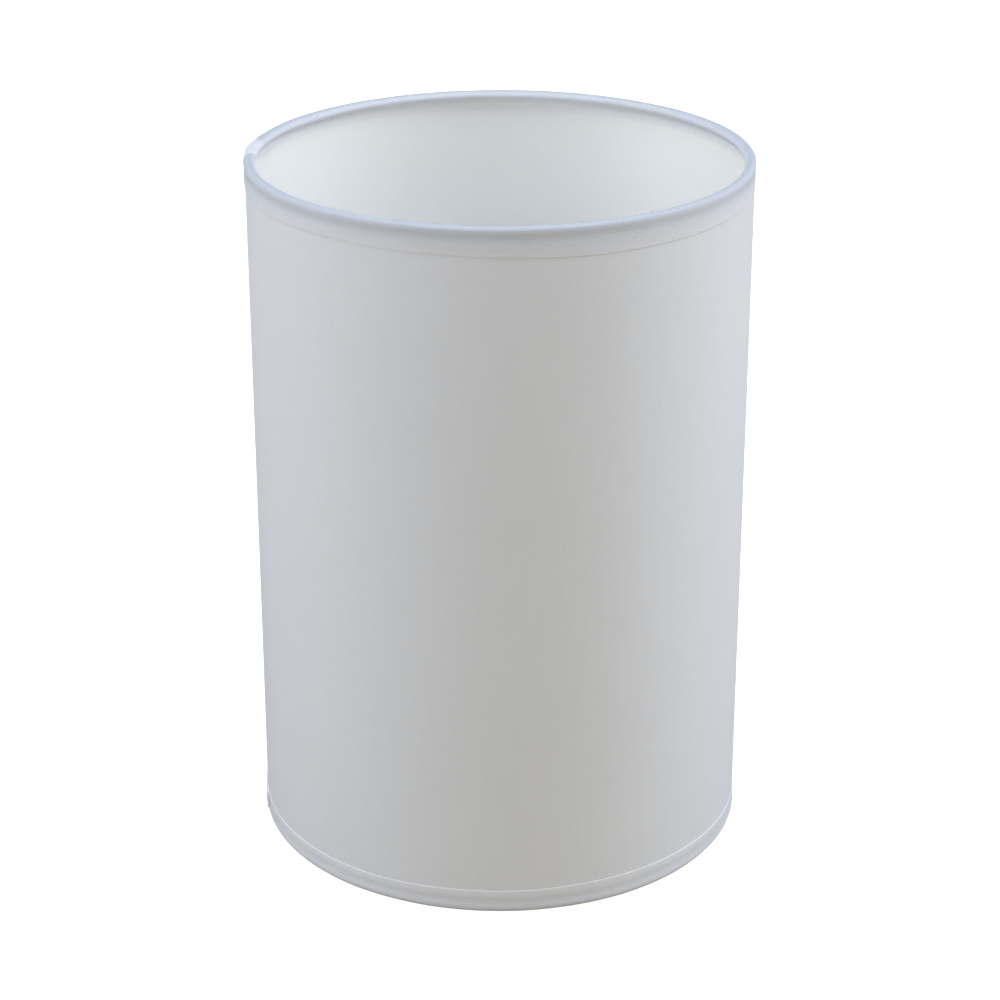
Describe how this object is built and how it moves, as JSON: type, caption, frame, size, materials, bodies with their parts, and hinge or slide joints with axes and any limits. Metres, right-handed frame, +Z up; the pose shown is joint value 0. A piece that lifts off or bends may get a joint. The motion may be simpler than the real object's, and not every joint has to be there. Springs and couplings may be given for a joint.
{
  "type": "lamp shade",
  "caption": "White fabric cylinder lamp shade with rolled trims, a recessed wire fitter and a lift-out reducer ring.",
  "frame": {"origin": "centre of the lower rim's resting plane", "axes": "+Z up along the tube's axis, towards the open upper rim; -Y faces the viewer; the vertical seam is near -X"},
  "size_m": [0.1403, 0.14, 0.198],
  "materials": {
    "cover_fabric": "matt plain-weave polycotton",
    "trim_fabric": "matt weave cut on the bias",
    "liner_plastic": "satin white styrene sheet",
    "tape": "translucent double-sided tape",
    "white_steel": "gloss white powder coat",
    "reducer_plastic": "satin white moulding"
  },
  "bodies": {
    "shade": {"cover": "cover_fabric", "liner": "liner_plastic", "seam_tape": "tape", "upper_ring": "white_steel", "lower_ring": "white_steel", "upper_trim": "trim_fabric", "lower_trim": "trim_fabric", "spoke_1": "white_steel", "spoke_2": "white_steel", "spoke_3": "white_steel", "fitter_ring": "white_steel", "fitter_welds": "white_steel"},
    "reducer": {"reducer_ring": "reducer_plastic"}
  },
  "joints": [
    {"name": "reducer_lift", "type": "slide", "parent": "shade", "child": "reducer", "axis": [0, 0, 1], "range_m": [0, 0.185]}
  ]
}
